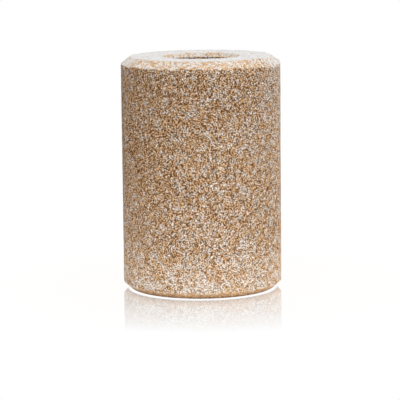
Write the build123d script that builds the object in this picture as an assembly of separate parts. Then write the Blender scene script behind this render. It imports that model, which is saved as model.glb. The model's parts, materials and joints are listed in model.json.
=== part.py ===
from build123d import *
import os

# Replaceable core of a refrigerant filter drier: desiccant granules, bonded and moulded as one hollow cylinder.
# It stands on its lower end. The origin is the centre of that end, +Z runs up the bore, and sizes are in mm.

# Body
OUTER_DIAMETER = 96.0
LENGTH = 140.0
BORE_DIAMETER = 42.0

# Bevels between the end faces and the side wall. The upper one is wider and flatter than the lower one.
UPPER_BEVEL_WIDTH = 5.7
UPPER_BEVEL_HEIGHT = 4.2
LOWER_BEVEL_WIDTH = 4.6
LOWER_BEVEL_HEIGHT = 3.9

# Bevel round each mouth of the bore, a small funnel in the end face
MOUTH_BEVEL_WIDTH = 2.2
MOUTH_BEVEL_DEPTH = 2.5

# Roundings that the mould and handling leave on the edges
WALL_EDGE_RADIUS = 0.8
FACE_EDGE_RADIUS = 1.0
MOUTH_EDGE_RADIUS = 0.8

outer_radius = OUTER_DIAMETER / 2
bore_radius = BORE_DIAMETER / 2
upper_face_radius = outer_radius - UPPER_BEVEL_WIDTH
lower_face_radius = outer_radius - LOWER_BEVEL_WIDTH
upper_wall_end = LENGTH - UPPER_BEVEL_HEIGHT
lower_wall_end = LOWER_BEVEL_HEIGHT
mouth_radius = bore_radius + MOUTH_BEVEL_WIDTH
lower_bore_end = MOUTH_BEVEL_DEPTH
upper_bore_end = LENGTH - MOUTH_BEVEL_DEPTH


def corners_at(outline, radius, *heights):
    """The outline's corners that stand at a radius, at any of the given heights."""
    tolerance = 1e-6
    return [
        corner
        for corner in outline.vertices()
        if abs(corner.X - radius) < tolerance
        and any(abs(corner.Z - height) < tolerance for height in heights)
    ]


def half_section():
    """One side of the core, cut along its axis: a bevelled strip between the bore and the side wall."""
    outline = make_face(
        Plane.XZ
        * Polyline(
            (bore_radius, lower_bore_end),
            (mouth_radius, 0),
            (lower_face_radius, 0),
            (outer_radius, lower_wall_end),
            (outer_radius, upper_wall_end),
            (upper_face_radius, LENGTH),
            (mouth_radius, LENGTH),
            (bore_radius, upper_bore_end),
            close=True,
        )
    )
    mouth_edges = corners_at(outline, mouth_radius, 0, LENGTH)
    mouth_edges += corners_at(outline, bore_radius, lower_bore_end, upper_bore_end)
    outline = fillet(mouth_edges, MOUTH_EDGE_RADIUS)
    outline = fillet(corners_at(outline, outer_radius, lower_wall_end, upper_wall_end), WALL_EDGE_RADIUS)
    face_edges = corners_at(outline, lower_face_radius, 0) + corners_at(outline, upper_face_radius, LENGTH)
    return fillet(face_edges, FACE_EDGE_RADIUS)


def drier_core():
    """The whole core: its section turned once round the bore's axis."""
    core = revolve(half_section(), Axis.Z)
    core.label = "drier_core"
    return core


os.makedirs("parts", exist_ok=True)
export_step(drier_core(), "parts/drier_core.step")
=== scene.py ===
import json
import math

import bpy
import numpy as np
from mathutils import Matrix, Vector, noise


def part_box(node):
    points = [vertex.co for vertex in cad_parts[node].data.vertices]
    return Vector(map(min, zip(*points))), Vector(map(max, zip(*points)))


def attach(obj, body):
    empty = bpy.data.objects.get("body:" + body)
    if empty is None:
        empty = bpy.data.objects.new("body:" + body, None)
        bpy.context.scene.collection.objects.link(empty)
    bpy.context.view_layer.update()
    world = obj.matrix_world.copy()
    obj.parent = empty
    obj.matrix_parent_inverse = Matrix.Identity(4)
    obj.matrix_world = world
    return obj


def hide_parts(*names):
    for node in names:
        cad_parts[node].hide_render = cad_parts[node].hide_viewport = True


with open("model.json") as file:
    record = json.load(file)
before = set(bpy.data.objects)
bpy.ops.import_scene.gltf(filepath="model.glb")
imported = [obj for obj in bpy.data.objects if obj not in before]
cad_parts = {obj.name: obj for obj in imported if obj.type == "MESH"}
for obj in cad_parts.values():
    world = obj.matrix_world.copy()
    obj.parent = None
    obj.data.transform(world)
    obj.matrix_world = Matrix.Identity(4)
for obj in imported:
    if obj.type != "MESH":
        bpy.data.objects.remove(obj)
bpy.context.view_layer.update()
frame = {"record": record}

MM = 0.001

# Sizes that the frame gives
low_corner, high_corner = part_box("drier_core")
LENGTH = high_corner[2] - low_corner[2]
RADIUS = (high_corner[1] - low_corner[1]) / 2
BORE_RADIUS = next(m["dims"]["r_mm"] for m in frame["record"]["mounts"] if m["name"] == "bore") * MM

# Bevels as (width, height) and the roundings of their edges, as on the solid
UPPER_BEVEL = (5.7 * MM, 4.2 * MM)
LOWER_BEVEL = (4.6 * MM, 3.9 * MM)
MOUTH_BEVEL = (2.2 * MM, 2.5 * MM)
WALL_EDGE = 0.8 * MM
FACE_EDGE = 1.0 * MM
MOUTH_EDGE = 0.8 * MM

UPPER_FACE_RADIUS = RADIUS - UPPER_BEVEL[0]
LOWER_FACE_RADIUS = RADIUS - LOWER_BEVEL[0]
MOUTH_RADIUS = BORE_RADIUS + MOUTH_BEVEL[0]
UPPER_WALL_END = LENGTH - UPPER_BEVEL[1]
LOWER_WALL_END = LOWER_BEVEL[1]


def smooth_step(start, end, value):
    """0 at the start, 1 at the end, and a smooth change between them. The end may lie below the start."""
    t = np.clip((value - start) / (end - start), 0, 1)
    return t * t * (3 - 2 * t)


# Camera, fitted to the outline in the photograph. It sees 20 m far.
FOCAL_PIXELS = 2250.17
PICTURE_PIXELS = 400
SENSOR_MM = 36.0
CAMERA_PLACE = (-1.16 * MM, -1348.87 * MM, 257.41 * MM)
CAMERA_DOWN = math.radians(8.637)
CAMERA_ROLL = math.radians(-0.577)
CAMERA_SIGHT = 20


def make_camera():
    camera = bpy.data.objects.new("camera", bpy.data.cameras.new("camera"))
    bpy.context.scene.collection.objects.link(camera)
    camera.data.sensor_width = SENSOR_MM
    camera.data.lens = FOCAL_PIXELS / PICTURE_PIXELS * SENSOR_MM
    camera.data.clip_end = CAMERA_SIGHT
    forward = Vector((0, math.cos(CAMERA_DOWN), -math.sin(CAMERA_DOWN)))
    level = Vector((1, 0, 0))
    upright = level.cross(forward)
    right = math.cos(CAMERA_ROLL) * level + math.sin(CAMERA_ROLL) * upright
    up = math.cos(CAMERA_ROLL) * upright - math.sin(CAMERA_ROLL) * level
    turn = Matrix((right, up, -forward)).transposed().to_4x4()
    camera.matrix_world = Matrix.Translation(CAMERA_PLACE) @ turn
    bpy.context.scene.camera = camera


# The core's mesh: rows follow the section's outline all round it, columns go round the axis
COLUMNS = 384
WALL_PITCH = 0.85 * MM
BEVEL_PITCH = 0.75 * MM
UPPER_FACE_PITCH = 1.3 * MM
LOWER_FACE_PITCH = 1.6 * MM
BORE_ROWS = 28
ROUNDING_ROWS = 2
BEVELS = ("lower_bevel", "upper_bevel", "upper_mouth", "lower_mouth")


def turned_by(arm, angle):
    """A vector in the plane of the section, turned anticlockwise."""
    cos, sin = math.cos(angle), math.sin(angle)
    return Vector((arm.x * cos - arm.y * sin, arm.x * sin + arm.y * cos))


def rounding(before, corner, after, radius):
    """The arc that rounds a corner, as points from one side to the other."""
    back = (before - corner).normalized()
    ahead = (after - corner).normalized()
    half = back.angle(ahead) / 2
    start = corner + back * (radius / math.tan(half))
    centre = corner + (back + ahead).normalized() * (radius / math.sin(half))
    way = 1 if back.x * ahead.y - back.y * ahead.x < 0 else -1
    step = way * (math.pi - 2 * half) / ROUNDING_ROWS
    return [centre + turned_by(start - centre, step * i) for i in range(ROUNDING_ROWS + 1)]


def outline_rows():
    """The section's outline as rows of (radius, height, zone): up the wall, in over the top, down the bore
    and out over the underside. The bore's rows have no pitch: they are closest near its ends."""
    corners = [
        (LOWER_FACE_RADIUS, 0.0, FACE_EDGE, "lower_bevel", BEVEL_PITCH),
        (RADIUS, LOWER_WALL_END, WALL_EDGE, "wall", WALL_PITCH),
        (RADIUS, UPPER_WALL_END, WALL_EDGE, "upper_bevel", BEVEL_PITCH),
        (UPPER_FACE_RADIUS, LENGTH, FACE_EDGE, "upper_face", UPPER_FACE_PITCH),
        (MOUTH_RADIUS, LENGTH, MOUTH_EDGE, "upper_mouth", BEVEL_PITCH),
        (BORE_RADIUS, LENGTH - MOUTH_BEVEL[1], MOUTH_EDGE, "bore", None),
        (BORE_RADIUS, MOUTH_BEVEL[1], MOUTH_EDGE, "lower_mouth", BEVEL_PITCH),
        (MOUTH_RADIUS, 0.0, MOUTH_EDGE, "lower_face", LOWER_FACE_PITCH),
    ]
    places = [Vector(corner[:2]) for corner in corners]
    around = range(len(corners))
    nexts = [(i + 1) % len(corners) for i in around]
    arcs = [rounding(places[i - 1], places[i], places[nexts[i]], corners[i][2]) for i in around]
    rows = []
    for i in around:
        zone, pitch = corners[i][3:]
        zone_before = corners[i - 1][3]
        bevel = zone if zone in BEVELS else zone_before
        arc_zones = [zone_before] + [bevel] * (ROUNDING_ROWS - 1) + [zone]
        rows += [(p.x, p.y, arc_zone) for p, arc_zone in zip(arcs[i], arc_zones)]
        start = arcs[i][-1]
        run = arcs[nexts[i]][0] - start
        count = BORE_ROWS if pitch is None else round(run.length / pitch)
        for step in range(1, count):
            share = step / count
            if pitch is None:
                share = 0.5 - 0.5 * math.cos(math.pi * share)
            p = start + run * share
            rows.append((p.x, p.y, zone))
    return rows


# All angles round the axis are in degrees: 270 is the front, 0 the right, 90 the back and 180 the left.
# The upper end strays from its drawn height, by bumps of (height in mm, middle, half width) and by
# waves of (height in mm, radius of the noise's circle, level of the noise). There is one set for the
# edge between wall and bevel, one for the edge between bevel and face, and one for the bore's mouth.
WALL_EDGE_BUMPS = [(0.9, 0, 15), (0.25, 182, 10), (-0.4, 226, 5), (0.65, 262, 40), (0.4, 297, 5)]
WALL_EDGE_WAVES = [(0.35, 5, 2.5), (0.45, 13, 6.1), (0.6, 30, 1.7)]
FACE_EDGE_BUMPS = [(0.35, 12, 25), (0.15, 50, 30), (0.45, 172, 8)]
FACE_EDGE_WAVES = [(0.15, 7, 9.4)]
MOUTH_BUMPS = [(0.2, 270, 50)]
MOUTH_WAVES = [(0.25, 14, 4.2)]
FACE_RISE = 0.2
# How far below the upper end the straying starts, and where it is whole
STRAY_START = 10 * MM
STRAY_WHOLE = 4 * MM

# The white skin that pressing leaves: all over the faces, and worn on the mouths and on the upper bevel's
# sides and back, with a little more at the left, as (amount, middle, half width)
MOUTH_SKIN = 0.3
BEVEL_SKIN = 0.63
LEFT_SKIN = (0.03, 180, 30)
# The stretch round the front that has lost its skin: its middle, half its width, and half the width of
# each end
BARE_MIDDLE = 267
BARE_HALF = 60
BARE_END = 7
# There the faces are bare too, near their edge: from so far inside the edge to where their skin is whole
FACE_BARE = (0.3 * MM, 2.6 * MM)
# Elsewhere the skin reaches down the wall: how much there is, how far down it starts and is whole, and
# the wave of its ragged end, as above
WALL_SKIN = 0.6
WALL_SKIN_REACH = (1.2 * MM, 0.3 * MM)
SCALLOP = (0.8 * MM, 9, 3.3)

# Powder lightens the granules and whitens them. On the wall the lightening grows evenly towards the base,
# and more of both lies near the base, between the heights where each starts and where it is whole. The
# lightening towards the base is painted light from the bright table below.
LOW_PAINTED_LIGHT = 0.3
FOOT_PAINTED_LIGHT = 0.3
FOOT_PAINTED_LIGHT_HEIGHTS = (42 * MM, 4 * MM)
FOOT_CHALK = 0.35
FOOT_CHALK_HEIGHTS = (15 * MM, 5 * MM)
# Dust lies just below the upper edge all round, and more of it on the left, as (amount, middle, half
# width)
RIM_DUST = 0.28
RIM_DUST_LEFT = (0.16, 230, 25)
RIM_REACH = 5 * MM
# A pale, whitened strip at the upper right is painted sheen from the lamp at the rear right: the angles
# where that starts and ends, how each end fades, and its length
SHEEN_STRIP_ANGLES = (318, 20)
SHEEN_STRIP_START_FADE = (-4, 6)
SHEEN_STRIP_END_FADE = 30
SHEEN_STRIP_LENGTH = 60 * MM
SHEEN_STRIP_LIGHT = 0.1
SHEEN_STRIP_WHITE = 0.35
# The upper bevel is powdered too, less so on the right, and whitened
BEVEL_CHALK = 0.14
RIGHT_LOSS = (0.45, 0, 40)
# The lower bevel is tan and darker towards the contact, painted shade under the foot: between which
# heights its lightening comes, and its whitening goes
LOWER_SHADE_HEIGHTS = (-3 * MM, LOWER_WALL_END)
LOWER_CHALK_HEIGHTS = (LOWER_WALL_END + 0.5 * MM, 1.5 * MM)
# The left of the wall is the darkest and least whitened part, but not near the base: painted shade where
# less light reaches it. As (amount, middle, half width), the heights where that starts and is whole, and
# what it takes away
LEFT_SHADE = (1.0, 220, 24)
LEFT_SHADE_HEIGHTS = (10 * MM, 80 * MM)
LEFT_SHADE_DARKENING = 0.12
LEFT_SHADE_WHITE_LOSS = 0.25

# A worn hollow in the upper bevel, over the right side: its depth in mm, middle and half width. The
# power sets its deepest line nearer to the wall than to the face.
HOLLOW = (0.5, 11, 5)
HOLLOW_POWER = 0.7
# Relief of the bonded granules, as (height in mm, size) of each layer of noise: the mould's waves,
# clumps and grains. A pit opens where its noise passes a threshold, and is at its deepest a little
# above that.
MOULD = (0.10, 14 * MM)
CLUMP = (0.05, 3.0 * MM)
GRIT = (0.08, 1.3 * MM)
PITS = (0.25, 1.5 * MM)
PIT_PLACE = Vector((7.3, 1.1, 4.7))
PIT_THRESHOLD = 0.36
PIT_SLOPE = 0.25
# How far the middle of the relief lies below the drawn surface, in mm, and how much of it pressing has
# taken away
RELIEF_BELOW = 0.12
PRESSED_LOSS = 0.9


def bell(degrees, height, middle, half_width):
    """A bump of the given height round an angle."""
    away = (degrees - middle + 180) % 360 - 180
    return height * np.exp(-(away / half_width) ** 2)


def ring_noise(degrees, height, radius, level):
    """Noise round a circle: a larger radius gives shorter waves. Each level is a noise of its own."""
    angles = np.radians(degrees)
    places = zip(np.cos(angles) * radius, np.sin(angles) * radius)
    return height * np.array([noise.noise(Vector((x, y, level))) for x, y in places])


def straying(degrees, bumps, waves):
    return sum(bell(degrees, *bump) for bump in bumps) + sum(ring_noise(degrees, *wave) for wave in waves)


def upper_end_shift(section, degrees):
    """How much higher than drawn each row stands at each angle, as the upper end strays."""
    radius, height = section[:, 0], section[:, 1]
    wall_edge = straying(degrees, WALL_EDGE_BUMPS, WALL_EDGE_WAVES)
    face_edge = FACE_RISE + straying(degrees, FACE_EDGE_BUMPS, FACE_EDGE_WAVES)
    mouth = FACE_RISE + straying(degrees, MOUTH_BUMPS, MOUTH_WAVES)
    wall_share = np.clip((radius - UPPER_FACE_RADIUS) / UPPER_BEVEL[0], 0, 1)
    mouth_share = np.clip((UPPER_FACE_RADIUS - radius) / (UPPER_FACE_RADIUS - MOUTH_RADIUS), 0, 1)
    face_share = 1 - wall_share - mouth_share
    fade = np.clip((height - LENGTH + STRAY_START) / (STRAY_START - STRAY_WHOLE), 0, 1)
    shift = np.outer(wall_share, wall_edge) + np.outer(face_share, face_edge)
    shift += np.outer(mouth_share, mouth)
    return shift * fade[:, None] * MM


def rows_of(zones, *names):
    """A column with 1 at the rows of the named zones and 0 at the others."""
    return np.array([[float(zone in names)] for zone in zones])


def skin_field(section, zones, degrees):
    """By row and angle: how much white skin is left."""
    radius, height = section[:, :1], section[:, 1:]
    from_middle = abs((degrees - BARE_MIDDLE + 180) % 360 - 180)
    sides = smooth_step(BARE_HALF - BARE_END, BARE_HALF + BARE_END, from_middle)
    bare_from, whole_from = FACE_BARE
    kept = smooth_step(UPPER_FACE_RADIUS - bare_from, UPPER_FACE_RADIUS - whole_from, radius)
    skin = rows_of(zones, "upper_face", "lower_face") * np.maximum(kept, sides)
    skin += rows_of(zones, "upper_mouth", "lower_mouth") * MOUTH_SKIN
    skin += rows_of(zones, "upper_bevel") * sides * (BEVEL_SKIN + bell(degrees, *LEFT_SKIN))
    start, whole = WALL_SKIN_REACH
    ragged_height = height + ring_noise(degrees, *SCALLOP)
    reach = smooth_step(UPPER_WALL_END - start, UPPER_WALL_END - whole, ragged_height)
    return skin + rows_of(zones, "wall") * sides * WALL_SKIN * reach


def powder_and_shading_fields(section, zones, degrees):
    """By row and angle: how far powder lightens the granules, and how far they lean from tan to
    whitened. Both fields also carry painted light and shade: lighter towards the base, a sheen strip at
    the upper right, and shade on the left and at the foot."""
    height = section[:, 1:]
    wall = rows_of(zones, "wall")
    upper = rows_of(zones, "upper_bevel")
    lower = rows_of(zones, "lower_bevel")
    # The strip at the upper right is painted sheen from the rear-right lamp.
    start, end = SHEEN_STRIP_ANGLES
    into = (degrees - start) % 360
    width = (end - start) % 360
    strip = smooth_step(*SHEEN_STRIP_START_FADE, np.where(into > 180, into - 360, into))
    strip *= smooth_step(width, width - SHEEN_STRIP_END_FADE, into)
    strip = strip * smooth_step(UPPER_WALL_END - SHEEN_STRIP_LENGTH, UPPER_WALL_END, height)
    # Painted shade on the left of the wall: darker and less whitened.
    left_shade = wall * bell(degrees, *LEFT_SHADE) * smooth_step(*LEFT_SHADE_HEIGHTS, height)

    # Lighter towards the base, and more so near it: painted light from the bright table below.
    low = LOW_PAINTED_LIGHT * (1 - height / LENGTH) + FOOT_PAINTED_LIGHT * smooth_step(*FOOT_PAINTED_LIGHT_HEIGHTS, height)
    rim = RIM_DUST + bell(degrees, *RIM_DUST_LEFT)
    rim = rim * smooth_step(UPPER_WALL_END - RIM_REACH, UPPER_WALL_END, height)
    dust_and_shading = wall * (np.maximum(low, SHEEN_STRIP_LIGHT * strip) + rim) - LEFT_SHADE_DARKENING * left_shade
    # On the lower bevel the lightening fades towards the contact: painted shade under the foot.
    dust_and_shading += upper * (1 - bell(degrees, *RIGHT_LOSS)) + lower * smooth_step(*LOWER_SHADE_HEIGHTS, height)
    dust_and_shading += rows_of(zones, "upper_face", "lower_face", "upper_mouth", "lower_mouth")

    chalk_and_shading = wall * (SHEEN_STRIP_WHITE * strip + FOOT_CHALK * smooth_step(*FOOT_CHALK_HEIGHTS, height))
    # On the lower bevel the whitening gives way to tan towards the contact, painted shade there too.
    chalk_and_shading += BEVEL_CHALK * upper - lower * smooth_step(*LOWER_CHALK_HEIGHTS, height)
    chalk_and_shading -= LEFT_SHADE_WHITE_LOSS * left_shade
    return np.clip(dust_and_shading, 0, 1), chalk_and_shading


def pitted_relief(places, rough):
    """By row and angle: how far the granules stand out from the drawn surface, and how deep the pits are
    on a scale of 0 to 1."""
    relief = np.zeros(places.shape[:2])
    depth = np.zeros(places.shape[:2])
    for i, j in np.ndindex(relief.shape):
        p = Vector(places[i, j])
        mould, clump, grit = [swing * noise.noise(p / size) for swing, size in (MOULD, CLUMP, GRIT)]
        pit = noise.noise(p / PITS[1] + PIT_PLACE)
        deep = min(max((pit - PIT_THRESHOLD) / PIT_SLOPE, 0), 1)
        depth[i, j] = deep * rough[i]
        relief[i, j] = (mould + clump + grit - PITS[0] * deep - RELIEF_BELOW) * rough[i] * MM
    return relief, depth


def worn_hollow(section, degrees):
    """By row and angle: how deep the hollow in the upper bevel is."""
    radius, height = section[:, 0], section[:, 1]
    across = np.clip((RADIUS - radius) / UPPER_BEVEL[0], 0, 1) * (height > UPPER_WALL_END)
    worn = np.where((across > 0) & (across < 1), np.sin(math.pi * across ** HOLLOW_POWER), 0)
    return worn[:, None] * bell(degrees, *HOLLOW) * MM


def core_mesh():
    rows = outline_rows()
    section = np.array([row[:2] for row in rows])
    zones = [row[2] for row in rows]
    count = len(rows)
    print("rows", count, "triangles", 2 * count * COLUMNS)
    along = np.roll(section, -1, axis=0) - np.roll(section, 1, axis=0)
    along /= np.linalg.norm(along, axis=1)[:, None]
    facing = np.stack([along[:, 1], -along[:, 0]], axis=1)

    degrees = 360 * np.arange(COLUMNS) / COLUMNS
    circle = np.stack([np.cos(np.radians(degrees)), np.sin(np.radians(degrees))], axis=1)
    places = np.empty((count, COLUMNS, 3))
    places[..., :2] = section[:, None, :1] * circle
    places[..., 2] = section[:, None, 1] + upper_end_shift(section, degrees)
    normals = np.empty((count, COLUMNS, 3))
    normals[..., :2] = facing[:, None, :1] * circle
    normals[..., 2] = facing[:, None, 1]

    pressed = rows_of(zones, "upper_face", "lower_face")[:, 0]
    relief, pits = pitted_relief(places, 1 - PRESSED_LOSS * pressed)
    relief -= worn_hollow(section, degrees)
    places += normals * relief[..., None]

    number = np.arange(count * COLUMNS).reshape(count, COLUMNS)
    above = np.roll(number, -1, axis=0)
    faces = np.stack([number, np.roll(number, -1, axis=1), np.roll(above, -1, axis=1), above], axis=-1)
    mesh = bpy.data.meshes.new("desiccant_core")
    mesh.from_pydata(places.reshape(-1, 3).tolist(), [], faces.reshape(-1, 4).tolist())
    mesh.validate()
    for polygon in mesh.polygons:
        polygon.use_smooth = True
    dust_and_shading, chalk_and_shading = powder_and_shading_fields(section, zones, degrees)
    fields = {"skin": skin_field(section, zones, degrees), "dust_and_shading": dust_and_shading, "chalk_and_shading": chalk_and_shading, "hollow": pits}
    for name, values in fields.items():
        layer = mesh.attributes.new(name, "FLOAT", "POINT")
        layer.data.foreach_set("value", np.broadcast_to(values, pits.shape).ravel().astype(np.float32))
    return mesh


# Node helpers
def add(tree, kind, **settings):
    node = tree.nodes.new(kind)
    for name, value in settings.items():
        setattr(node, name, value)
    return node


def feed(tree, socket, value):
    """Links a node's output to a socket, or sets the socket to a plain value."""
    if isinstance(value, bpy.types.NodeSocket):
        tree.links.new(value, socket)
    else:
        socket.default_value = value


def calc(tree, operation, *values, clamp=False):
    node = add(tree, "ShaderNodeMath", operation=operation, use_clamp=clamp)
    for socket, value in zip(node.inputs, values):
        feed(tree, socket, value)
    return node.outputs[0]


def total(tree, *values):
    sum_so_far = values[0]
    for value in values[1:]:
        sum_so_far = calc(tree, "ADD", sum_so_far, value)
    return sum_so_far


def line(tree, value, slope, start):
    """A value times a slope, from a start."""
    return calc(tree, "MULTIPLY_ADD", value, slope, start)


def centred(tree, value, by):
    """A 0 to 1 field as a swing about 0."""
    return line(tree, value, by, -0.5 * by)


def remap(tree, value, low, high, to_low=0.0, to_high=1.0, kind="SMOOTHSTEP"):
    node = add(tree, "ShaderNodeMapRange", interpolation_type=kind)
    for socket, given in zip(node.inputs, (value, low, high, to_low, to_high)):
        feed(tree, socket, given)
    return node.outputs[0]


# Where a mix node has its two colours and its mixed one
MIX_INPUTS = (6, 7)
MIX_OUTPUT = 2


def mix(tree, factor, first, second):
    node = add(tree, "ShaderNodeMix", data_type="RGBA")
    feed(tree, node.inputs[0], factor)
    for number, colour in zip(MIX_INPUTS, (first, second)):
        feed(tree, node.inputs[number], colour)
    return node.outputs[MIX_OUTPUT]


def mix_shaders(tree, factor, first, second):
    node = add(tree, "ShaderNodeMixShader")
    for socket, value in zip(node.inputs, (factor, first, second)):
        feed(tree, socket, value)
    return node.outputs[0]


def grains(tree, place, size, output="Distance"):
    node = add(tree, "ShaderNodeTexVoronoi")
    feed(tree, node.inputs["Vector"], place)
    node.inputs["Scale"].default_value = 1 / size
    return node.outputs[output]


def random_grains(tree, place, size):
    """A random 0 to 1 value for each grain."""
    node = add(tree, "ShaderNodeSeparateColor")
    feed(tree, node.inputs[0], grains(tree, place, size, "Color"))
    return node.outputs[0]


def cloud(tree, place, size, detail=0.0, roughness=0.5, output="Fac"):
    node = add(tree, "ShaderNodeTexNoise")
    feed(tree, node.inputs["Vector"], place)
    node.inputs["Scale"].default_value = 1 / size
    node.inputs["Detail"].default_value = detail
    node.inputs["Roughness"].default_value = roughness
    return node.outputs[output]


def moved(tree, place, shift, by=1.0):
    """A place moved by a vector, or by a texture's colour, times a factor."""
    node = add(tree, "ShaderNodeVectorMath", operation="MULTIPLY_ADD")
    feed(tree, node.inputs[0], shift)
    node.inputs[1].default_value = (by, by, by)
    feed(tree, node.inputs[2], place)
    return node.outputs[0]


def reach_of(tree, place):
    """How far a place is from the origin."""
    node = add(tree, "ShaderNodeVectorMath", operation="LENGTH")
    feed(tree, node.inputs[0], place)
    return node.outputs["Value"]


def object_place(tree):
    return add(tree, "ShaderNodeTexCoord").outputs["Object"]


def attribute(tree, name):
    return add(tree, "ShaderNodeAttribute", attribute_name=name).outputs["Fac"]


def display(colour):
    """A colour of 0 to 255, as a screen shows it, as the linear one that a shader takes."""
    shares = [level / 255 for level in colour]
    return (*[s / 12.92 if s <= 0.04045 else ((s + 0.055) / 1.055) ** 2.4 for s in shares], 1)


def grey(level):
    return (level, level, level, 1)


def ramp(tree, value, stops):
    node = add(tree, "ShaderNodeValToRGB")
    places = node.color_ramp.elements
    for _ in stops[2:]:
        places.new(0.5)
    for place, (position, colour) in zip(places, stops):
        place.position = position
        place.color = display(colour)
    feed(tree, node.inputs[0], value)
    return node.outputs[0]


# Bonded desiccant: granules that are tan in some patches and whitened by powder in others. In both the
# lighter granules are the whiter ones. Each row of stops goes from the darkest granule to the lightest,
# as display colours.
TAN = [(0.0, (88, 50, 14)), (0.35, (138, 96, 51)), (0.7, (191, 150, 107)), (1.0, (234, 201, 162))]
WHITENED = [(0.0, (97, 76, 55)), (0.35, (158, 139, 118)), (0.7, (210, 197, 183)), (1.0, (244, 237, 231))]
# The colour of the painted shade in pits
PIT_SHADE = (66, 38, 16)
SKIN_DULL = (207, 203, 198)
SKIN_BRIGHT = (236, 236, 236)
# The noises lie askew to the core's axis, so that their grid doesn't show. They also bend the grains'
# outlines.
GRAIN_TURN = (0.5, 0.8, 0.3)
BEND_SIZE = 1.1 * MM
BEND = 0.4 * MM
# Grains are light in the middle and dark at the gaps between them, painted shading of each grain as a
# dome: from and to which distance from the middle, as shares of their size, and how much. Each also has a
# lightness of its own. Dust, with the painted light in its field, calms both and lightens all.
GRAIN = 0.62 * MM
GRAIN_CORE = 0.17
GRAIN_GAP = 0.73
GRAIN_SHADE_SWING = 0.8
GRAIN_TINT = 0.12
DUST_AND_SHADING_CALM = -0.5
LIGHT = 0.505
DUST_AND_SHADING_LIGHT = 0.45
# Whitened patches: (size, detail, roughness) and swing of the two noises that make them, and what dust,
# with the painted light and shade that share its field, adds
MIDDLE_PATCHES = (2.5 * MM, 2.0, 0.65)
MIDDLE_SWING = 5.2
WIDE_PATCHES = (5 * MM, 1.0)
WIDE_SWING = 1.9
PATCHES = 0.29
DUST_AND_SHADING_PATCHES = 0.24
# Dark specks: the share of grains that are one, the softness of that choice, the distances from such a
# grain's middle where the speck ends and is whole, how dark it is, and how dark a pit is, as painted shade
# in it
SPECK = 1.0 * MM
SPECK_SHARE = 0.15
SPECK_SOFT = 0.04
SPECK_END = 0.55
SPECK_WHOLE = 0.3
SPECK_DARK = 0.75
PIT_SHADE_DARK = 0.35
# A finer noise mottles the skin and wears holes in it where there is little
MOTTLE = (1.6 * MM, 1.0, 0.6)
DULL_TO_BRIGHT = (0.3, 0.65)
MOTTLE_RANGE = (0.3, 0.7)
WEAR = 0.65
WEAR_SOFT = 0.35
SKIN_COVER = 0.94
ROUGHNESS = (0.86, 1.0)
SHINE = 0.12
# Bump: each grain is a dome with a fine grit on it, and less of both where there is skin
DOME_END = 0.8
GRIT_BUMP = (0.35 * MM, 1.0)
GRIT_SHARE = 0.5
BUMP_HEIGHT = 0.25 * MM
BUMP_BARE = 0.5
BUMP_SKIN = 0.12


def desiccant_colour(tree, place, skin, bent, gap, mottle):
    dust_and_shading = attribute(tree, "dust_and_shading")
    calm = line(tree, dust_and_shading, DUST_AND_SHADING_CALM, 1.0)
    own = centred(tree, random_grains(tree, bent, GRAIN), GRAIN_TINT)
    # Each grain's own lightness, plus painted shading: light in its middle and dark at its gaps.
    swing = total(tree, own, remap(tree, gap, GRAIN_CORE, GRAIN_GAP, GRAIN_SHADE_SWING, -GRAIN_SHADE_SWING))
    light = total(tree, calc(tree, "MULTIPLY", swing, calm), line(tree, dust_and_shading, DUST_AND_SHADING_LIGHT, LIGHT))
    middle = centred(tree, cloud(tree, place, *MIDDLE_PATCHES), MIDDLE_SWING)
    wide = centred(tree, cloud(tree, place, *WIDE_PATCHES), WIDE_SWING)
    patches = total(tree, middle, wide, attribute(tree, "chalk_and_shading"), line(tree, dust_and_shading, DUST_AND_SHADING_PATCHES, PATCHES))
    whitened = calc(tree, "ADD", patches, 0, clamp=True)
    colour = mix(tree, whitened, ramp(tree, light, TAN), ramp(tree, light, WHITENED))

    chosen = remap(tree, random_grains(tree, bent, SPECK), SPECK_SHARE + SPECK_SOFT, SPECK_SHARE)
    dark = remap(tree, grains(tree, bent, SPECK), SPECK_END, SPECK_WHOLE, 0.0, SPECK_DARK)
    speck = calc(tree, "MULTIPLY", calc(tree, "MULTIPLY", chosen, dark), calm)
    # Pits darkened: painted shade in them.
    hollow = calc(tree, "MULTIPLY", attribute(tree, "hollow"), PIT_SHADE_DARK)
    colour = mix(tree, calc(tree, "MAXIMUM", speck, hollow), colour, display(PIT_SHADE))

    white = mix(tree, remap(tree, mottle, *DULL_TO_BRIGHT), display(SKIN_DULL), display(SKIN_BRIGHT))
    worn = remap(tree, mottle, *MOTTLE_RANGE, 0.0, WEAR)
    left = remap(tree, skin, worn, calc(tree, "ADD", worn, WEAR_SOFT))
    return mix(tree, calc(tree, "MULTIPLY", left, SKIN_COVER), colour, white)


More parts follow.
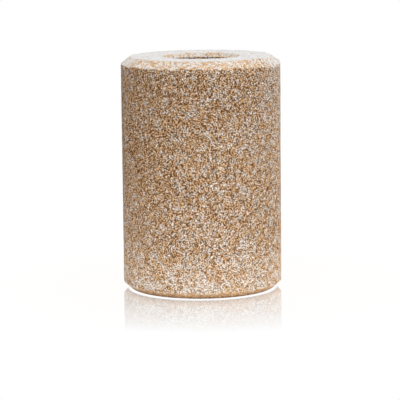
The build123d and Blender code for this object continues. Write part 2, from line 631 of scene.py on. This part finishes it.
def desiccant_material():
    material = bpy.data.materials.new("bonded_desiccant")
    material.use_nodes = True
    tree = material.node_tree
    shader = tree.nodes["Principled BSDF"]
    turned = add(tree, "ShaderNodeMapping", vector_type="POINT")
    feed(tree, turned.inputs["Vector"], object_place(tree))
    turned.inputs["Rotation"].default_value = GRAIN_TURN
    place = turned.outputs[0]
    skin = attribute(tree, "skin")
    bent = moved(tree, place, cloud(tree, place, BEND_SIZE, output="Color"), BEND)
    gap = grains(tree, bent, GRAIN)
    mottle = cloud(tree, place, *MOTTLE)
    feed(tree, shader.inputs["Base Color"], desiccant_colour(tree, place, skin, bent, gap, mottle))
    feed(tree, shader.inputs["Roughness"], remap(tree, mottle, *MOTTLE_RANGE, *ROUGHNESS))
    shader.inputs["Specular IOR Level"].default_value = SHINE

    dome = remap(tree, gap, 0.0, DOME_END, 1.0, 0.0)
    bump = add(tree, "ShaderNodeBump")
    bump.inputs["Distance"].default_value = BUMP_HEIGHT
    feed(tree, bump.inputs["Strength"], remap(tree, skin, 0, 1, BUMP_BARE, BUMP_SKIN, "LINEAR"))
    feed(tree, bump.inputs["Height"], line(tree, cloud(tree, place, *GRIT_BUMP), GRIT_SHARE, dome))
    feed(tree, shader.inputs["Normal"], bump.outputs[0])
    return material


def make_core():
    core = bpy.data.objects.new("desiccant_core", core_mesh())
    bpy.context.scene.collection.objects.link(core)
    core.data.materials.append(desiccant_material())
    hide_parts("drier_core")
    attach(core, "root")


# Studio: a white table in a white room, with soft lamps
AMBIENT = 0.45
# The table's half width, its roughness, and its colour as the camera sees it, as light meets it near
# the core and as light meets it far off. Near ends and far starts at these distances from the axis.
TABLE_HALF = 6.0
TABLE_ROUGHNESS = 0.6
TABLE_SEEN = grey(0.95)
TABLE_NEAR = grey(0.9)
TABLE_FAR = grey(0.2)
TABLE_REACH = (0.25, 0.4)
# The table glows white to the camera, a little less so near the core, where its shadow shows
TABLE_GLOW = 0.95
GLOW_REACH = (0.06, 0.16)
# To the camera alone it mirrors the foot of the core, most where it stands, but for a white line: the
# front of a circle a little wider than the foot and set forward. The line ends softly, between two
# distances from that circle.
MIRROR = 0.57
MIRROR_LENGTH = 92 * MM
MIRROR_TINT = (1, 0.985, 0.96, 1)
LINE_WIDTH = 1.5 * MM
LINE_SHIFT = 3.7 * MM
LINE_EDGE = (-0.6 * MM, 0.9 * MM)
# Each lamp: azimuth, elevation, distance from the core, width, height of the lamp, strength, and the
# height on the core's axis that it faces. Azimuth 0 is in front and 90 on the right. Strength is the
# light that a surface facing the lamp gets at that place, where 1 shows a white surface as white. It
# holds for a lamp that is small for its distance: the wide ones close by give less.
LAMPS = {
    "key": (-8, 45, 1.2, 0.8, 0.8, 0.5, LENGTH / 2),
    "top": (0, 80, 1.2, 0.8, 0.8, 0.25, LENGTH / 2),
    "side": (80, 2, 1.0, 0.6, 0.4, 0.45, LENGTH / 2),
    "strip": (134, 8, 0.45, 0.06, 0.3, 0.4, LENGTH / 2),
    "low": (5, 4, 0.22, 0.5, 0.04, 0.3, 0),
    "left": (-78, 4, 0.125, 0.2, 0.03, 0.13, 0),
}


def background(tree, strength):
    node = add(tree, "ShaderNodeBackground")
    node.inputs["Color"].default_value = grey(1)
    node.inputs["Strength"].default_value = strength
    return node.outputs[0]


def seen_white(tree, path):
    """1 for the rays that have to see a white background, the camera's and those of gloss and glass, and 0
    for the others."""
    seen = calc(tree, "MAXIMUM", path.outputs["Is Camera Ray"], path.outputs["Is Glossy Ray"])
    return calc(tree, "MAXIMUM", seen, path.outputs["Is Transmission Ray"])


def make_world():
    """A white room as it is seen, and a weaker light from all round."""
    world = bpy.data.worlds.new("studio")
    bpy.context.scene.world = world
    world.use_nodes = True
    tree = world.node_tree
    tree.nodes.clear()
    out = add(tree, "ShaderNodeOutputWorld")
    seen = seen_white(tree, add(tree, "ShaderNodeLightPath"))
    feed(tree, out.inputs[0], mix_shaders(tree, seen, background(tree, AMBIENT), background(tree, 1.0)))


def make_lamp(name, azimuth, elevation, away, width, tall, strength, height):
    lamp = bpy.data.objects.new(name, bpy.data.lights.new(name, "AREA"))
    bpy.context.scene.collection.objects.link(lamp)
    side, up = math.radians(azimuth), math.radians(elevation)
    way = Vector((math.sin(side) * math.cos(up), -math.cos(side) * math.cos(up), math.sin(up)))
    lamp.location = Vector((0, 0, height)) + way * away
    lamp.rotation_euler = way.to_track_quat("Z", "Y").to_euler()
    lamp.data.shape = "RECTANGLE"
    lamp.data.size = width
    lamp.data.size_y = tall
    lamp.data.energy = strength * math.pi ** 2 * away ** 2


def table_material():
    material = bpy.data.materials.new("white_table")
    material.use_nodes = True
    tree = material.node_tree
    surface = tree.nodes["Principled BSDF"]
    surface.inputs["Roughness"].default_value = TABLE_ROUGHNESS
    path = add(tree, "ShaderNodeLightPath")
    camera = path.outputs["Is Camera Ray"]
    seen = seen_white(tree, path)
    place = object_place(tree)
    reach = reach_of(tree, place)
    line_reach = reach_of(tree, moved(tree, place, (0, LINE_SHIFT, 0)))
    line_end = LOWER_FACE_RADIUS + LINE_WIDTH
    past_line = remap(tree, line_reach, line_end + LINE_EDGE[0], line_end + LINE_EDGE[1])

    lit = mix(tree, remap(tree, reach, *TABLE_REACH), TABLE_NEAR, TABLE_FAR)
    feed(tree, surface.inputs["Base Color"], mix(tree, seen, lit, TABLE_SEEN))
    glow = add(tree, "ShaderNodeEmission")
    glow.inputs["Strength"].default_value = 1.0
    glowing = remap(tree, past_line, 0.0, 1.0, 1.0, remap(tree, reach, *GLOW_REACH, TABLE_GLOW, 1.0))
    white = mix_shaders(tree, calc(tree, "MULTIPLY", glowing, seen), surface.outputs[0], glow.outputs[0])

    mirror = add(tree, "ShaderNodeBsdfGlossy")
    mirror.inputs["Color"].default_value = MIRROR_TINT
    mirror.inputs["Roughness"].default_value = 0.0
    near = remap(tree, reach, RADIUS, RADIUS + MIRROR_LENGTH, MIRROR, 0.0, "LINEAR")
    mirrored = calc(tree, "MULTIPLY", calc(tree, "MULTIPLY", near, past_line), camera)
    polished = mix_shaders(tree, mirrored, white, mirror.outputs[0])
    feed(tree, tree.nodes["Material Output"].inputs["Surface"], polished)
    return material


def make_table():
    """A pale polished table. It is seen white, with the core's shadow, and mirrors the foot of the core
    faintly, but for a narrow white line along the front of the foot."""
    mesh = bpy.data.meshes.new("table")
    corners = [(x * TABLE_HALF, y * TABLE_HALF, 0) for x, y in ((-1, -1), (1, -1), (1, 1), (-1, 1))]
    mesh.from_pydata(corners, [], [(0, 1, 2, 3)])
    table = bpy.data.objects.new("table", mesh)
    bpy.context.scene.collection.objects.link(table)
    mesh.materials.append(table_material())


bpy.context.scene.view_settings.view_transform = "Standard"
make_camera()
make_world()
for lamp_name, settings in LAMPS.items():
    make_lamp(lamp_name, *settings)
make_table()
make_core()
